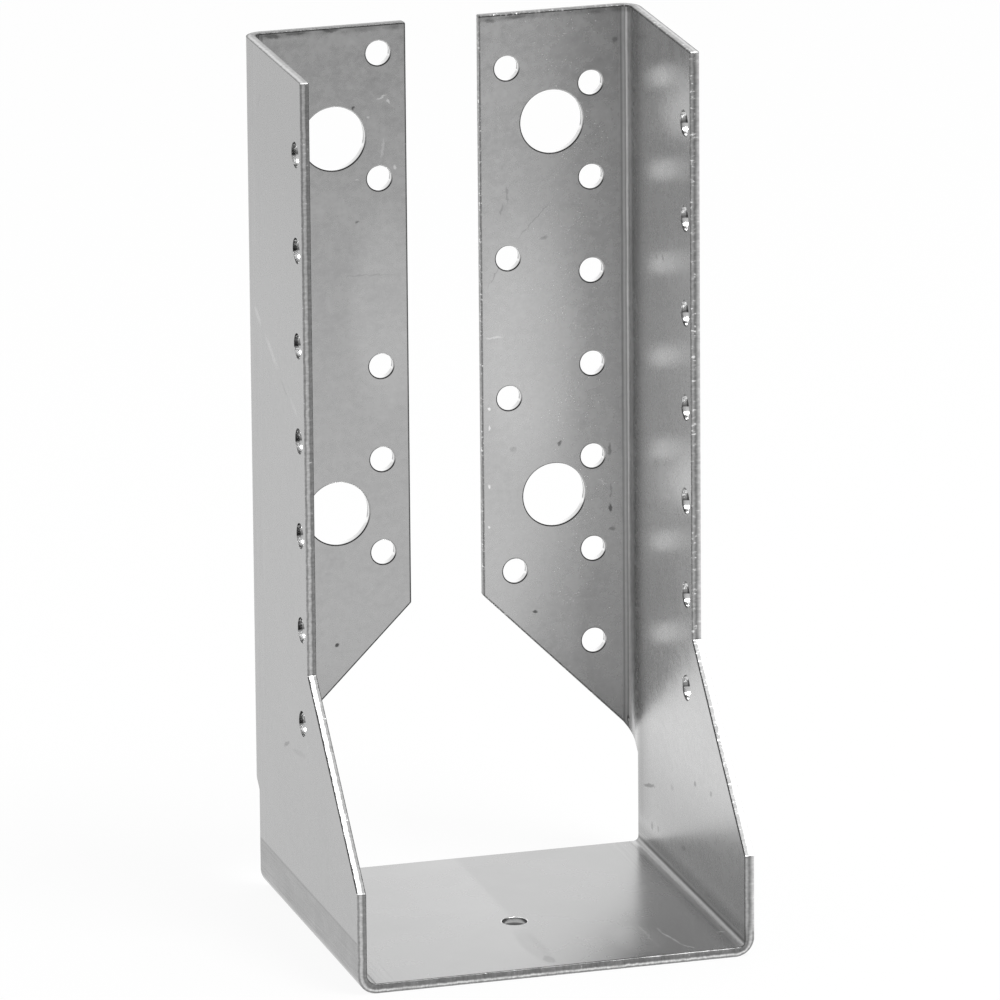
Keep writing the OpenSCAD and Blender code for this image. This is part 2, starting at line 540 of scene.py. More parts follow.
# How far the floor is plain white where it's seen. The rest takes the shadow.
FLOOR_GLOW = 0.92


def is_seen(nodes):
    """1 for the camera's rays and for mirrored ones, 0 for scattered light."""
    rays = nodes.add("ShaderNodeLightPath").outputs
    seen = nodes.math("MAXIMUM", rays["Is Camera Ray"], rays["Is Glossy Ray"])
    return nodes.math("MAXIMUM", seen, rays["Is Transmission Ray"])


def floor_material():
    """Pale floor, white where it is seen but for part of the shadow, and clear from below."""
    material = bpy.data.materials.new("floor")
    material.use_nodes = True
    nodes = Nodes(material.node_tree)
    plain = nodes.add("ShaderNodeBsdfDiffuse", {"Color": FLOOR_COLOUR})
    glow = nodes.add("ShaderNodeEmission", {"Color": WHITE, "Strength": 1.0})
    share = nodes.times(is_seen(nodes), FLOOR_GLOW)
    pale = nodes.add("ShaderNodeMixShader", {0: share, 1: plain.outputs[0], 2: glow.outputs[0]})
    from_below = nodes.add("ShaderNodeNewGeometry").outputs["Backfacing"]
    clear = nodes.add("ShaderNodeBsdfTransparent")
    surface = nodes.add("ShaderNodeMixShader", {0: from_below, 1: pale.outputs[0], 2: clear.outputs[0]})
    nodes.add("ShaderNodeOutputMaterial", {"Surface": surface.outputs[0]})
    return material


# Just under the part's underside, so that the two faces don't lie in one plane
FLOOR_Z = -0.05 * MM
# The floor's front and back edge and half its width, in metres
FLOOR_FRONT = -0.5
FLOOR_BACK = 4.0
FLOOR_SIDE = 3.0


def make_floor():
    corners = [
        (-FLOOR_SIDE, FLOOR_FRONT, FLOOR_Z), (FLOOR_SIDE, FLOOR_FRONT, FLOOR_Z),
        (FLOOR_SIDE, FLOOR_BACK, FLOOR_Z), (-FLOOR_SIDE, FLOOR_BACK, FLOOR_Z),
    ]
    mesh = bpy.data.meshes.new("floor")
    mesh.from_pydata(corners, [], [(0, 1, 2, 3)])
    mesh.materials.append(floor_material())
    floor = bpy.data.objects.new("floor", mesh)
    bpy.context.scene.collection.objects.link(floor)


# Brightness of the surroundings in front of the part, and behind it on its left and right
WORLD_FRONT = 0.5
WORLD_LEFT = 0.72
WORLD_RIGHT = 1.05
# Where, in a direction's X and Y, one brightness passes into the next
LEFT_TO_RIGHT = (-0.35, 0.35)
FRONT_TO_BACK = (-0.5, 0.2)


def make_world():
    """White behind the part and on its right, duller on its left and in front."""
    world = bpy.data.worlds.new("studio")
    bpy.context.scene.world = world
    world.use_nodes = True
    nodes = Nodes(world.node_tree)
    direction = nodes.add("ShaderNodeTexCoord").outputs["Generated"]
    direction = nodes.add("ShaderNodeSeparateXYZ", {0: direction}).outputs
    back = nodes.step(direction["X"], *LEFT_TO_RIGHT, WORLD_LEFT, WORLD_RIGHT)
    level = nodes.blend(nodes.step(direction["Y"], *FRONT_TO_BACK), WORLD_FRONT, back)
    camera_ray = nodes.add("ShaderNodeLightPath").outputs["Is Camera Ray"]
    level = nodes.math("MAXIMUM", level, camera_ray)
    background = nodes.add("ShaderNodeBackground", {"Color": WHITE, "Strength": level})
    nodes.add("ShaderNodeOutputWorld", {"Surface": background.outputs[0]})


# Each lamp's place and size in metres, and its power in watts
LAMPS = {
    "overhead": ((0.45, -0.48, 1.6), 0.7, 14.0),
}


def make_lamps():
    for name, (place, size, power) in LAMPS.items():
        data = bpy.data.lights.new(name, "AREA")
        data.shape = "DISK"
        data.size = size
        data.energy = power
        lamp = bpy.data.objects.new(name, data)
        lamp.location = place
        lamp.rotation_euler = (CAMERA_AIM - Vector(place)).to_track_quat("-Z", "Y").to_euler()
        bpy.context.scene.collection.objects.link(lamp)


# Tone and roughness of the bare sheet, before anything below changes them
ZINC = 0.52
ZINC_ROUGHNESS = 0.27

# Tones of the cut faces, by the share of the thickness from the inner face to the outer one. Besides the
# sheared edge's own zones they hold painted shade on the rolled rim at the inner face, and painted light
# and shade that differs from edge to edge
CUT_TONES = [
    (0.0, 0.13), (0.07, 0.15), (0.14, 0.26), (0.40, 0.23), (0.52, 0.52), (0.72, 0.56),
    (0.80, 0.3), (0.94, 0.32), (1.0, 0.45),
]
RIGHT_CUT_TONES = [
    (0.0, 0.26), (0.1, 0.36), (0.2, 0.46), (0.3, 0.38), (0.42, 0.25), (0.52, 0.25), (0.64, 0.36),
    (0.78, 0.54), (0.9, 0.64), (1.0, 0.72),
]
SEAT_CUT_TONES = [
    (0.0, 0.14), (0.06, 0.13), (0.15, 0.2), (0.45, 0.17), (0.56, 0.26), (0.63, 0.62), (0.73, 0.84),
    (0.8, 0.5), (0.86, 0.26), (0.95, 0.26), (1.0, 0.45),
]
TOP_CUT_TONES = [
    (0.0, 0.14), (0.1, 0.22), (0.2, 0.42), (0.45, 0.45), (0.66, 0.68), (0.8, 0.6), (0.9, 0.26),
    (1.0, 0.16),
]
LEFT_SLOPE_TONES = [
    (0.0, 0.06), (0.07, 0.04), (0.14, 0.1), (0.36, 0.095), (0.44, 0.3), (0.8, 0.5), (0.86, 0.05),
    (0.92, 0.02), (1.0, 0.02),
]
RIGHT_SLOPE_TONES = [
    (0.0, 0.14), (0.07, 0.09), (0.14, 0.13), (0.45, 0.14), (0.55, 0.4), (1.0, 0.5),
]
HOLE_TONES = [
    (0.0, 0.16), (0.07, 0.2), (0.14, 0.6), (0.3, 0.78), (0.55, 0.74), (0.63, 0.24), (1.0, 0.18),
]

# Tool lines and painted light and shade round the inner side of an upright bend, from side plate to flange
BEND_TONES = [
    (0.0, 1.43), (0.15, 1.55), (0.3, 1.42), (0.44, 1.36), (0.48, 1.5), (0.575, 1.5), (0.62, 0.62),
    (0.70, 0.62), (0.75, 0.8), (0.82, 0.78), (0.87, 0.58), (0.95, 0.6), (1.0, 1.0),
]
# The same across a lower bend, from seat to side plate
LEFT_SEAT_TONES = [(0.0, 1.0), (0.03, 0.6), (0.11, 0.6), (0.16, 1.0), (1.0, 1.0)]
RIGHT_SEAT_TONES = [
    (0.0, 0.92), (0.05, 1.04), (0.12, 1.2), (0.24, 1.31), (0.34, 1.38), (0.40, 1.1), (0.46, 0.97),
    (0.5, 1.08), (0.54, 1.21), (0.58, 1.08), (0.62, 0.8), (0.67, 0.55), (0.72, 0.42), (0.78, 0.68),
    (0.9, 0.92), (1.0, 0.9),
]
# Painted shade and light on the side plates beside the upright bends, from a place along the blank to the
# bend
BESIDE_START = 24.0
BESIDE_LIGHT_AND_SHADE = [
    (0.0, 1.0), (0.3, 0.93), (0.5, 0.84), (0.67, 0.74), (0.77, 0.80), (0.84, 0.9), (0.9, 1.02),
    (1.0, 1.2),
]

INNER, OUTER = 0.0, SHEET
# How far a mark reaches into the sheet, so that it stays on its own face
MARK_DEPTH = 0.5
# Shares of a mark's size at which it begins to fade and has gone, and how strongly all marks show
MARK_CORE = 0.5
MARK_RIM = 1.1
MARK_STRENGTH = 1.3
# The noise, and the millimetres of shift, that make the marks' outlines ragged
MARK_NOISE = {"Scale": 0.9, "Detail": 2.0}
MARK_SHIFT = 1.1
# Handling marks: face, place along and across the blank, half length, half width, angle in
# degrees, and how much lighter or darker than the sheet
MARKS = [
    # Left flange
    (INNER, 65.5, -204.6, 1.3, 0.25, -20, 0.45),
    (INNER, 66.9, -203.5, 0.7, 0.25, 65, 0.45),
    (INNER, 62.6, -200.6, 0.35, 0.3, 0, 0.3),
    (INNER, 65.6, -193.8, 0.3, 2.4, 8, 0.2),
    (INNER, 68.1, -189.4, 0.3, 0.7, 0, 0.4),
    (INNER, 60.0, -187.4, 0.6, 0.2, 10, 0.25),
    (INNER, 59.5, -202.8, 0.3, 0.35, 0, -0.5),
    (INNER, 60.0, -178.6, 0.35, 0.3, 0, -0.35),
    (INNER, 62.0, -167.0, 7.0, 0.15, 2, -0.10),
    (INNER, 54.6, -88.2, 0.6, 0.5, 0, -0.6),
    (INNER, 66.0, -160.0, 9.0, 24.0, 0, 0.10),
    (INNER, 42.3, -219.2, 2.2, 0.55, 6, -0.38),
    (INNER, 47.4, -219.4, 2.6, 0.45, 0, -0.32),
    (INNER, 54.8, -219.5, 2.4, 0.4, 0, -0.36),
    # Right flange
    (INNER, 59.2, 175.8, 6.0, 0.16, -46, -0.16),
    (INNER, 66.8, 166.2, 5.8, 0.16, -58, -0.18),
    (INNER, 65.0, 181.7, 0.35, 2.2, 0, -0.16),
    (INNER, 66.2, 178.6, 0.3, 1.5, 12, -0.16),
    (INNER, 57.0, 172.0, 0.9, 0.45, 0, -0.2),
    (INNER, 68.0, 151.4, 2.2, 0.25, 0, 0.2),
    (INNER, 43.2, 125.3, 0.35, 1.5, 0, -0.3),
    (INNER, 43.1, 112.5, 0.45, 1.1, 0, -0.5),
    (INNER, 42.7, 108.0, 0.9, 0.5, 0, -0.26),
    (INNER, 43.0, 116.2, 0.25, 2.0, 0, -0.18),
    (INNER, 44.8, 118.3, 1.4, 0.22, 40, 0.2),
    (INNER, 54.0, 127.5, 0.45, 0.7, 0, -0.45),
    (INNER, 45.5, 86.0, 6.0, 22.0, 0, -0.09),
    (INNER, 59.6, 91.5, 0.6, 0.28, 0, -0.55),
    (INNER, 64.0, 127.0, 0.9, 0.6, 0, -0.14),
    (INNER, 41.6, 212.8, 0.7, 0.5, 0, -0.28),
    (INNER, 60.0, 150.0, 14.0, 30.0, 0, 0.10),
    (INNER, 62.5, 219.3, 3.2, 0.4, 0, -0.25),
    (INNER, 68.5, 218.8, 1.5, 0.5, 10, -0.25),
    (INNER, 69.2, 136.0, 0.35, 0.4, 0, 0.6),
    (INNER, 69.2, 132.0, 0.3, 0.7, 0, 0.5),
    (INNER, 69.2, 119.5, 0.35, 0.5, 0, 0.5),
    (INNER, 69.2, 110.8, 0.3, 0.4, 0, 0.5),
    # Left side plate
    (OUTER, 20.3, -157.7, 6.2, 0.9, -26, 0.14),
    (OUTER, 30.5, -162.6, 3.2, 1.0, -26, 0.14),
    (OUTER, 3.5, -150.3, 3.5, 0.7, -22, 0.10),
    (OUTER, 10.5, -152.4, 3.5, 0.5, -24, -0.10),
    (OUTER, 27.3, -208.8, 0.6, 3.4, -35, -0.07),
    (OUTER, 12.4, -76.2, 2.7, 0.6, 25, -0.3),
    (OUTER, 3.0, -77.0, 6.0, 0.8, 8, -0.08),
    # Right side plate
    (INNER, 26.3, 55.0, 4.8, 0.45, -14, -0.42),
    (INNER, 24.3, 46.8, 1.0, 1.0, 0, -0.28),
    (INNER, 20.0, 47.3, 0.8, 0.8, 0, -0.2),
    (INNER, -17.0, 66.3, 1.1, 0.6, -30, -0.26),
    (INNER, -6.0, 65.1, 0.9, 0.6, 0, -0.32),
    (INNER, 10.0, 59.4, 1.3, 0.8, 0, -0.14),
    (INNER, 2.2, 48.6, 1.8, 0.5, -10, -0.22),
    (INNER, 0.0, 214.0, 13.0, 16.0, 0, -0.07),
    (INNER, 15.0, 171.9, 0.9, 0.8, 0, -0.28),
    (INNER, 19.3, 171.0, 0.8, 0.7, 0, -0.2),
    # Seat
    (INNER, -26.0, -1.0, 13.0, 2.6, 0, -0.08),
    (INNER, -35.5, -0.4, 3.0, 1.2, 0, -0.14),
    (INNER, -24.6, 26.5, 2.2, 0.3, 0, 0.4),
    (INNER, -28.1, 27.0, 2.4, 0.34, -15, 0.6),
    (INNER, -32.0, 27.7, 2.6, 0.34, -6, 0.5),
    (INNER, -36.0, 29.0, 2.4, 0.32, -33, 0.5),
    (INNER, -27.0, 23.3, 8.5, 0.28, 0, 0.25),
    (INNER, -29.2, 38.3, 0.4, 1.4, 0, 0.6),
    (INNER, -29.2, 20.9, 11.0, 6.0, 0, 0.13),
    # Lower end of the right flange's bend, where the tool's edge stopped: painted shade, and a painted
    # highlight of a small dent there
    (INNER, 39.1, 66.4, 0.55, 0.8, 0, -0.5),
    (INNER, 39.0, 66.0, 0.3, 0.35, 0, 1.2),
]


def marks(nodes, blank):
    """How much lighter or darker the marks make the sheet."""
    wander = nodes.add("ShaderNodeTexNoise", {"Vector": blank, **MARK_NOISE}).outputs["Color"]
    shift = Vector((MARK_SHIFT, MARK_SHIFT, 0))
    ragged = nodes.vector("ADD", nodes.vector("MULTIPLY_ADD", wander, shift, -shift / 2), blank)
    deep = nodes.times(nodes.add("ShaderNodeSeparateXYZ", {0: ragged}).outputs["Z"], 1 / MARK_DEPTH)
    total = 0.0
    for face, along, place, length, width, angle, strength in MARKS:
        lean = math.radians(angle)
        centre = Vector((along, place, face))
        lengthwise = Vector((math.cos(lean), math.sin(lean), 0)) / length
        widthwise = Vector((-math.sin(lean), math.cos(lean), 0)) / width
        start = (-centre.dot(lengthwise), -centre.dot(widthwise), -face / MARK_DEPTH)
        if angle:
            local = nodes.add("ShaderNodeCombineXYZ", {
                0: nodes.vector("DOT_PRODUCT", ragged, lengthwise),
                1: nodes.vector("DOT_PRODUCT", ragged, widthwise), 2: deep,
            }).outputs[0]
            local = nodes.vector("ADD", local, start)
        else:
            local = nodes.vector("MULTIPLY_ADD", ragged, (1 / length, 1 / width, 1 / MARK_DEPTH), start)
        reach = nodes.vector("LENGTH", local)
        total = nodes.plus(total, nodes.step(reach, MARK_CORE, MARK_RIM, strength * MARK_STRENGTH, 0.0))
    return total


# Noises on the blank: scale per millimetre, detail, roughness, and stretch along, across and through
CLOUD = (0.045, 3.0, 0.6)
BLOTCH = (0.20, 3.0, 0.55)
MOTTLE = (0.62, 2.0, 0.6)
SCUFF = (0.7, 4.0, 0.75, (1.0, 0.45, 1.0))
ALONG_LINES = (1.0, 2.0, 0.6, (3.2, 0.03, 1.0))
ACROSS_LINES = (1.0, 3.0, 0.7, (0.05, 3.5, 1.0))
BEND_WANDER = (0.06, 2.0)
RAGGED_CUT = (0.7, 3.0, 0.6, (1.0, 1.0, 0.3))
TEARING = (1.0, 3.0, 0.7, (1.7, 1.7, 0.7))
PATCHES = (0.28, 3.0, 0.65)

# Values of a noise between which its scuffs, patches or painted glints come out
SCUFF_FADE = (0.12, 0.3)
PATCH_FADE = (-0.1, 0.14)
PAINTED_GLINT_FADE = (0.16, 0.24)
RIGHT_PAINTED_GLINT_FADE = (0.05, 0.15)

# How strongly the noises show in the tone, the roughness and the relief
CLOUD_TONE, CLOUD_ROUGH = 0.22, 0.10
BLOTCH_TONE, BLOTCH_ROUGH = 0.24, 0.14
MOTTLE_TONE, MOTTLE_ROUGH, MOTTLE_RELIEF = 0.32, 0.12, 0.010
SCUFF_TONE = 0.16
ALONG_LINES_TONE = 0.35
ACROSS_LINES_TONE = 0.5
TEARING_TONE, TEARING_HOLE_TONE, TEARING_RELIEF = 1.1, 0.3, 0.02
BEND_WANDER_SHARE = 0.10
RAGGED_DEPTH = 0.5
BUMP_STRENGTH = 0.6

# Fades: where each starts and ends, in millimetres along or across the blank or through the sheet,
# and then its numbers at the two ends, which are 0 and 1 where none are given
INNER_FACE = (0.4, 0.6, 1.0, 0.0)
WORKED = (33.0, 43.0, 0.08, 1.0)
PAST_CREASE = (44.0, 48.0)
RIGHT_OF_CREASE = (44.0, 50.0)
CREASE_START = (42.3, 42.8)
CREASE_END = (52.0, 74.0, 1.0, 0.0)
# Fades of the painted light and shade on the flats: the right flange, the right plate, the seat, the left
# half and the left plate
RIGHT_FLANGE_LIGHT_TONES = (50.0, 68.0, 1.035, 1.16)
ON_RIGHT_PLATE = (30.0, 38.0, 1.0, 0.0)
ON_SEAT = (34.0, 40.0, 1.0, 0.0)
SEAT_TONES = (-25.0, 5.0, 1.0, 1.07)
LEFT_HALF_SHADE_TONES = (-42.0, -36.0, 0.87, 1.0)
ON_LEFT_PLATE = (-42.0, -40.0, 1.0, 0.0)
LEFT_PLATE_SHADE_TONES = (-212.0, -160.0, 0.80, 0.90)
ABOVE_SEAT = (PLATE_START + 1, PLATE_START + 4)
LEFT_TO_RIGHT_BEND = (-1.0, 1.0)
ON_FLANGE = (36.0, 38.0)

# Bands, in the same millimetres: start, end, and the width over which each end fades
BESIDE_BEND = (27.0, 41.0, 3.0)
AT_LOW_BEND = (33.0, 44.0, 2.0)
DIE_BAND = (41.5, 49.2, 0.4)
DIE_LINE = (49.0, 49.5, 0.2)
# Band of painted shade under the flanges' top edges
TOP_EDGE_SHADE = (across(HEIGHT) - 1.3, across(HEIGHT) + 1, 0.9)
# The same as shares of the way round a bend
IN_BEND = (0.0, 1.0, 0.2)

# Painted shade on the right plate and above the crease on the right
RIGHT_PLATE_SHADE_TONE = 0.845
CREASE_SHADE_TONE = 0.745
DIE_TONE, DIE_LINES, DIE_BLOTCHES = 0.77, 0.6, 0.35
DIE_LINE_TONE = 0.75
# Tone of the painted shade under the flanges' top edges, and how much the blotches change it
TOP_SHADE_TONE, TOP_SHADE_BLOTCHES = 0.76, 1.3
BEND_ROUGHNESS = 0.15


def tinted(nodes, tone, share, level):
    """The tone, times level where share is 1."""
    return nodes.times(tone, nodes.blend(share, 1.0, level))


def tone_with_painted_light(nodes, tone, split, inner_face):
    """The tone with painted light and shade: the brighter and duller areas of the flats."""
    along, side_place = split[:2]
    place = nodes.math("ABSOLUTE", side_place)
    outer_face = nodes.math("SUBTRACT", 1.0, inner_face)

    # Painted shade in strips on the side plates beside the upright bends, lighter at the bend, and above
    # the crease on the right
    strip = nodes.times(nodes.plus(along, -BESIDE_START), 1 / (BEND_Y - BESIDE_START))
    on_plates = nodes.times(nodes.math("LESS_THAN", along, BEND_Y), nodes.step(place, *PAST_CREASE))
    tone = tinted(nodes, tone, nodes.times(on_plates, inner_face), nodes.curve(strip, BESIDE_LIGHT_AND_SHADE))
    above = nodes.times(nodes.step(side_place, *CREASE_START), nodes.step(side_place, *CREASE_END))
    tone = tinted(nodes, tone, nodes.times(above, inner_face), CREASE_SHADE_TONE)

    # Painted light on the right flange towards its free edge, painted shade on the right plate, and
    # painted light on the seat towards its right
    right_half = nodes.math("GREATER_THAN", side_place, 0.0)
    right_side = nodes.times(right_half, nodes.step(place, *RIGHT_OF_CREASE), inner_face)
    tone = tinted(nodes, tone, right_side, nodes.step(along, *RIGHT_FLANGE_LIGHT_TONES))
    right_plate = nodes.times(right_side, nodes.step(along, *ON_RIGHT_PLATE))
    tone = tinted(nodes, tone, right_plate, RIGHT_PLATE_SHADE_TONE)
    on_seat = nodes.times(nodes.step(place, *ON_SEAT), inner_face)
    tone = tinted(nodes, tone, on_seat, nodes.step(side_place, *SEAT_TONES))

    # Painted shade makes the left half darker than the right one, and its plate darkest
    tone = nodes.times(tone, nodes.step(side_place, *LEFT_HALF_SHADE_TONES))
    left_plate = nodes.times(nodes.step(side_place, *ON_LEFT_PLATE), outer_face)
    return tinted(nodes, tone, left_plate, nodes.step(side_place, *LEFT_PLATE_SHADE_TONES))


def skin_tone(nodes, blank, split, inner_face):
    """Tone, roughness and relief of the sheet's two faces."""
    along, side_place = split[:2]
    place = nodes.math("ABSOLUTE", side_place)
    outer_face = nodes.math("SUBTRACT", 1.0, inner_face)
    cloud = nodes.noise(blank, *CLOUD)
    blotch = nodes.noise(blank, *BLOTCH)
    mottle = nodes.noise(blank, *MOTTLE)
    scuff = nodes.step(nodes.noise(blank, *SCUFF), *SCUFF_FADE)
    worked = nodes.step(place, *WORKED)
    pattern = nodes.plus(
        nodes.times(blotch, BLOTCH_TONE), nodes.times(mottle, MOTTLE_TONE), nodes.times(scuff, SCUFF_TONE),
    )
    tone = nodes.plus(1.0, nodes.times(cloud, CLOUD_TONE), nodes.times(pattern, worked))
    tone = tone_with_painted_light(nodes, tone, split, inner_face)

    # Lines beside the bends, left by the tools
    along_lines = nodes.noise(blank, *ALONG_LINES)
    beside_upright = nodes.times(nodes.band(along, *BESIDE_BEND), nodes.step(place, *PAST_CREASE))
    tone = nodes.times(tone, nodes.plus(1.0, nodes.times(along_lines, beside_upright, ALONG_LINES_TONE)))
    across_lines = nodes.noise(blank, *ACROSS_LINES)
    beside_low = nodes.band(place, *AT_LOW_BEND)
    tone = nodes.times(tone, nodes.plus(1.0, nodes.times(across_lines, beside_low, ACROSS_LINES_TONE)))

    # Tool lines and painted light and shade round the bends, on the inner face
    wander = nodes.times(nodes.noise(blank, *BEND_WANDER), BEND_WANDER_SHARE)
    turn = nodes.plus(nodes.times(nodes.plus(along, -BEND_Y), 1 / BEND_LENGTH), wander)
    on_plates = nodes.times(nodes.step(place, *ABOVE_SEAT), inner_face)
    tone = tinted(nodes, tone, on_plates, nodes.curve(turn, BEND_TONES))
    dip = nodes.times(nodes.plus(place, -BEND_X), 1 / BEND_LENGTH)
    right = nodes.step(side_place, *LEFT_TO_RIGHT_BEND)
    low = nodes.blend(right, nodes.curve(dip, LEFT_SEAT_TONES), nodes.curve(dip, RIGHT_SEAT_TONES))
    tone = tinted(nodes, tone, inner_face, low)

    # Band that the die left along the bottom of the side plates' outer faces
    die = nodes.times(nodes.band(place, *DIE_BAND), outer_face)
    die_line = nodes.times(nodes.band(place, *DIE_LINE), outer_face)
    die_tone = nodes.plus(
        DIE_TONE, nodes.times(across_lines, DIE_LINES), nodes.times(blotch, DIE_BLOTCHES)
    )
    tone = tinted(nodes, tone, die, die_tone)
    tone = tinted(nodes, tone, die_line, DIE_LINE_TONE)

    # Painted shade under the flanges' top edges, with blotches
    top = nodes.times(nodes.band(place, *TOP_EDGE_SHADE), nodes.step(along, *ON_FLANGE), inner_face)
    tone = tinted(nodes, tone, top, nodes.plus(TOP_SHADE_TONE, nodes.times(blotch, TOP_SHADE_BLOTCHES)))

    tone = nodes.times(tone, ZINC, nodes.plus(1.0, marks(nodes, blank)))
    in_bend = nodes.math("MAXIMUM", nodes.band(turn, *IN_BEND), nodes.band(dip, *IN_BEND))
    rough = nodes.plus(
        ZINC_ROUGHNESS, nodes.times(cloud, CLOUD_ROUGH), nodes.times(blotch, worked, BLOTCH_ROUGH),
        nodes.times(mottle, worked, MOTTLE_ROUGH), nodes.times(in_bend, inner_face, BEND_ROUGHNESS),
    )
    return tone, rough, nodes.times(mottle, worked, MOTTLE_RELIEF)


CUT_ROUGHNESS = 0.36
HOLE_ROUGHNESS = 0.2

# Fades and bands of the outline's cut faces, in the same millimetres
RIGHT_CUT = (42.0, 46.0)
ON_SEAT_CUT = (39.0, 42.0, 1.0, 0.0)
# Where the painted highlight on the seat edge's inner rim lies across the blank and through the sheet
RIM_HIGHLIGHT_PLACE = (8.0, 22.0)
RIM_HIGHLIGHT_DEPTH = (0.3, 0.15)
TOP_CUT = (across(HEIGHT) - 0.5, across(HEIGHT) - 0.3)
TOP_TONES = (34.0, 39.0, 1.0, 0.62)
SLOPE_CUT = (across(GUSSET_FOOT_Z) + 0.2, across(GUSSET_TOP_Z) - 0.2, 0.3)
SLOPE_ALONG = SIDE_FRONT_Y + 0.1
# Where the right flange's edge has more painted glints
RIGHT_PLACE = (60.0, 90.0)
RIGHT_DEPTH = (1.2, 0.9)
# What the painted highlight on the seat edge's inner rim adds outside the patches and in them, and the
# share and tone of the worn patches
RIM_HIGHLIGHT_PLAIN, RIM_HIGHLIGHT_PATCH = 0.04, 0.36
WORN_SHARE, WORN_TONE = 0.45, 0.3
# How much the painted glints lighten the cut faces, and those on the right flange's edge
PAINTED_GLINT, RIGHT_PAINTED_GLINT = 0.5, 0.8


def outline_cut_tone(nodes, split, through, patchy):
    """Tone of the outline's sheared faces, with painted light and shade."""
    along, side_place, depth = split
    place = nodes.math("ABSOLUTE", side_place)
    tone = nodes.blend(
        nodes.step(side_place, *RIGHT_CUT),
        nodes.curve(through, CUT_TONES), nodes.curve(through, RIGHT_CUT_TONES),
    )

    # The seat's edge has a painted highlight on its inner rim on the right, stronger in patches, and is
    # worn in patches
    rim_highlight = nodes.times(nodes.step(side_place, *RIM_HIGHLIGHT_PLACE), nodes.step(depth, *RIM_HIGHLIGHT_DEPTH))
    rim_highlight = nodes.times(rim_highlight, nodes.blend(patchy, RIM_HIGHLIGHT_PLAIN, RIM_HIGHLIGHT_PATCH))
    seat_tone = nodes.plus(nodes.curve(through, SEAT_CUT_TONES), rim_highlight)
    seat_tone = nodes.blend(nodes.times(patchy, WORN_SHARE), seat_tone, WORN_TONE)
    tone = nodes.blend(nodes.step(place, *ON_SEAT_CUT), tone, seat_tone)

    top_tone = nodes.times(nodes.curve(through, TOP_CUT_TONES), nodes.step(along, *TOP_TONES))
    tone = nodes.blend(nodes.step(place, *TOP_CUT), tone, top_tone)
    on_slope = nodes.times(nodes.band(place, *SLOPE_CUT), nodes.math("LESS_THAN", along, SLOPE_ALONG))
    slope_tone = nodes.blend(
        nodes.math("GREATER_THAN", side_place, 0.0),
        nodes.curve(through, LEFT_SLOPE_TONES), nodes.curve(through, RIGHT_SLOPE_TONES),
    )
    return nodes.blend(on_slope, tone, slope_tone)


# Painted light and shade on a hole's wall, by how far it faces up or ahead (fades and a band of
# the normal's parts) and by depth, and the tones there
PAINTED_LIGHT_UP, PAINTED_LIGHT_DEPTH, PAINTED_LIGHT_TONE = (-0.05, -0.35), (0.5, 0.3), 0.5
LIT_UP, LIT_DEPTH, LIT_TONE = (0.2, 0.3), (0.3, 0.45), 1.0
FRONT_SHADE_AHEAD, FRONT_SHADE_UP, FRONT_SHADE_TONE = (-0.7, -0.9), (-0.36, 0.22, 0.08), 0.34
RIM_LIGHT_AND_SHADE, RIM_DEPTH, RIM_LEAN = (-0.2, 0.05, 0.5, 0.04), (0.17, 0.12), 0.5
# The seat's hole: where it counts from the middle, the tone of its rim, and the painted shade on its wall
SEAT_HOLE = (5.0, 8.0, 1.0, 0.0)
SEAT_RIM_TONE = 1.0
SEAT_HOLE_SHADE_TONE = 0.54


def hole_wall_tone(nodes, split):
    """Tone of the walls and rims of the holes, with painted light and shade by the way each part faces."""
    side_place, depth = split[1:]
    normal = nodes.add("ShaderNodeNewGeometry").outputs["Normal"]
    facing = nodes.add("ShaderNodeSeparateXYZ", {0: normal}).outputs
    tone = nodes.curve(nodes.times(depth, 1 / SHEET), HOLE_TONES)
    # Painted light on walls that face down, near the inner face
    painted_light = nodes.times(nodes.step(facing["Z"], *PAINTED_LIGHT_UP), nodes.step(depth, *PAINTED_LIGHT_DEPTH))
    tone = nodes.blend(painted_light, tone, PAINTED_LIGHT_TONE)
    # Painted highlight on walls that face up, deeper in
    lit = nodes.times(nodes.step(facing["Z"], *LIT_UP), nodes.step(depth, *LIT_DEPTH))
    tone = nodes.blend(lit, tone, LIT_TONE)
    in_seat = nodes.step(nodes.math("ABSOLUTE", side_place), *SEAT_HOLE)
    # Painted shade on walls that face the front, outside the seat's hole
    back = nodes.times(nodes.step(facing["Y"], *FRONT_SHADE_AHEAD), nodes.band(facing["Z"], *FRONT_SHADE_UP))
    tone = tinted(nodes, tone, nodes.blend(in_seat, back, 0.0), FRONT_SHADE_TONE)

    # The rolled rim of a hole has painted shade where it faces up and left, and painted light where it
    # faces down and right; the seat's hole has a bright rim and painted shade on its wall
    rim = nodes.plus(nodes.times(facing["X"], RIM_LEAN), facing["Z"])
    rim = nodes.blend(in_seat, nodes.step(rim, *RIM_LIGHT_AND_SHADE), SEAT_RIM_TONE)
    tone = nodes.blend(in_seat, tone, nodes.times(tone, SEAT_HOLE_SHADE_TONE))
    return nodes.blend(nodes.step(depth, *RIM_DEPTH), tone, rim)


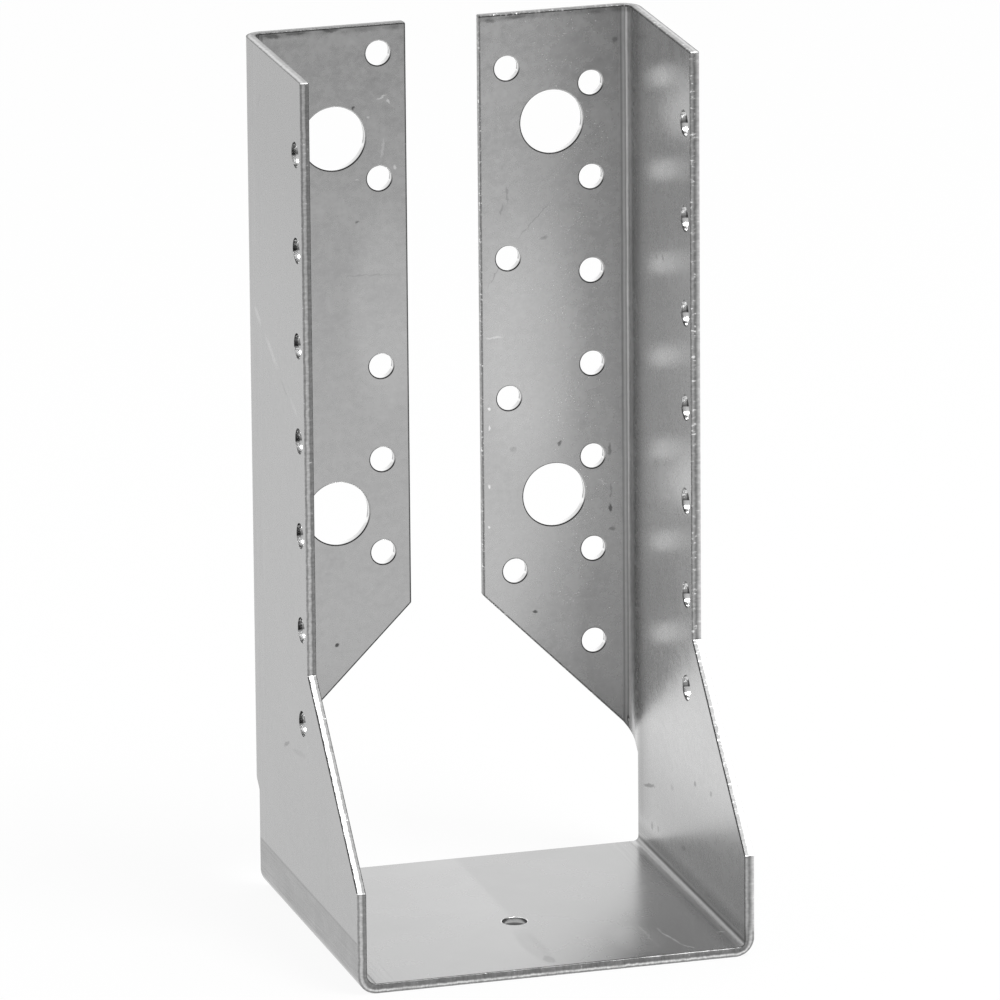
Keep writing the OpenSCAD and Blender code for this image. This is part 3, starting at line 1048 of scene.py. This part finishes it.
def cut_tone(nodes, blank, split, hole):
    """Tone, roughness and relief of the sheared faces, with painted glints."""
    side_place, depth = split[1:]
    ragged = nodes.noise(blank, *RAGGED_CUT)
    tearing = nodes.noise(blank, *TEARING)
    patchy = nodes.step(nodes.noise(blank, *PATCHES), *PATCH_FADE)
    through = nodes.times(nodes.plus(depth, nodes.times(ragged, RAGGED_DEPTH)), 1 / SHEET)
    tone = outline_cut_tone(nodes, split, through, patchy)
    tone = nodes.times(tone, nodes.plus(1.0, nodes.times(tearing, TEARING_TONE)))
    # Painted glints on the cut faces, more of them on the right flange's edge
    painted_glint = nodes.times(nodes.step(tearing, *PAINTED_GLINT_FADE), PAINTED_GLINT)
    right_edge = nodes.times(nodes.step(side_place, *RIGHT_PLACE), nodes.step(depth, *RIGHT_DEPTH))
    right_painted_glint = nodes.times(nodes.step(tearing, *RIGHT_PAINTED_GLINT_FADE), patchy, right_edge, RIGHT_PAINTED_GLINT)
    tone = nodes.plus(tone, painted_glint, right_painted_glint)
    walls = hole_wall_tone(nodes, split)
    walls = nodes.times(walls, nodes.plus(1.0, nodes.times(tearing, TEARING_HOLE_TONE)))
    tone = nodes.blend(hole, tone, walls)
    return tone, nodes.blend(hole, CUT_ROUGHNESS, HOLE_ROUGHNESS), nodes.times(tearing, TEARING_RELIEF)


def galvanised_steel():
    material = bpy.data.materials.new("galvanised_steel")
    material.use_nodes = True
    nodes = Nodes(material.node_tree)
    blank = nodes.add("ShaderNodeAttribute", attribute_name="blank_place").outputs["Vector"]
    split = nodes.add("ShaderNodeSeparateXYZ", {0: blank}).outputs
    split = (split[0], split[1], split[2])
    cut = nodes.add("ShaderNodeAttribute", attribute_name="cut_face").outputs["Fac"]
    hole = nodes.add("ShaderNodeAttribute", attribute_name="hole_wall").outputs["Fac"]
    inner_face = nodes.step(split[2], *INNER_FACE)

    skin, skin_rough, skin_relief = skin_tone(nodes, blank, split, inner_face)
    edge, edge_rough, edge_relief = cut_tone(nodes, blank, split, hole)
    tone = nodes.blend(cut, skin, edge)
    rough = nodes.blend(cut, skin_rough, edge_rough)
    relief = nodes.blend(cut, skin_relief, edge_relief)
    colour = nodes.add("ShaderNodeCombineColor", {0: tone, 1: tone, 2: tone}).outputs[0]
    bump = nodes.add("ShaderNodeBump", {"Height": relief, "Strength": BUMP_STRENGTH, "Distance": MM})
    surface = nodes.add("ShaderNodeBsdfPrincipled", {
        "Base Color": colour, "Metallic": 1.0, "Roughness": rough, "Normal": bump.outputs[0],
    })
    nodes.add("ShaderNodeOutputMaterial", {"Surface": surface.outputs[0]})
    return material


def make_hanger():
    mesh = sheet_mesh()
    mesh.materials.append(galvanised_steel())
    sheet = bpy.data.objects.new("folded_sheet", mesh)
    bpy.context.scene.collection.objects.link(sheet)
    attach(sheet, "root")
    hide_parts("hanger")


make_camera()
make_floor()
make_world()
make_lamps()
make_hanger()

bpy.context.scene.view_settings.view_transform = "Standard"

bpy.context.view_layer.update()
